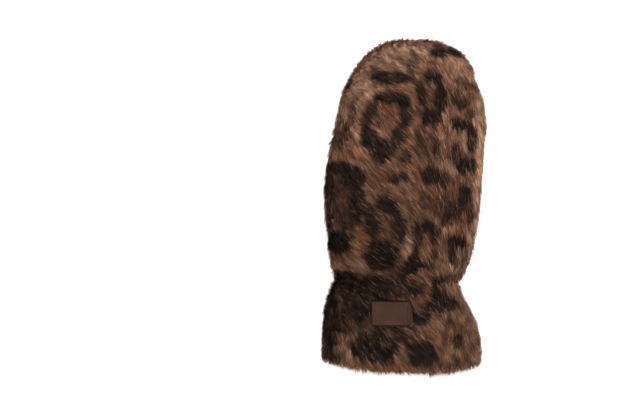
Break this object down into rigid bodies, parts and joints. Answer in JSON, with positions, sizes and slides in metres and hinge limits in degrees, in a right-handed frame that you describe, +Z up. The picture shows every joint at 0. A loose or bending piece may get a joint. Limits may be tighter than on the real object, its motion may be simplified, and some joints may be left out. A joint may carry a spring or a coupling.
{
  "type": "fur mitten",
  "caption": "Deep-pile fur mitten lying palm down, with its thumb folded under, a gathered wrist, a flared cuff and a small leather label",
  "frame": {"origin": "on the floor under the middle of the mitten as it lies", "axes": "+X to the little-finger side, +Y to the fingertips, +Z up from the floor"},
  "size_m": [0.1382, 0.288, 0.072],
  "materials": {
    "fur": "deep soft pile with a brown rosette print",
    "leather": "smooth brown leather, softly shining"
  },
  "bodies": {
    "root": {"back_panel": "fur", "palm_panel": "fur", "thumb": "fur", "cuff": "fur", "leather_label": "leather"}
  },
  "joints": []
}
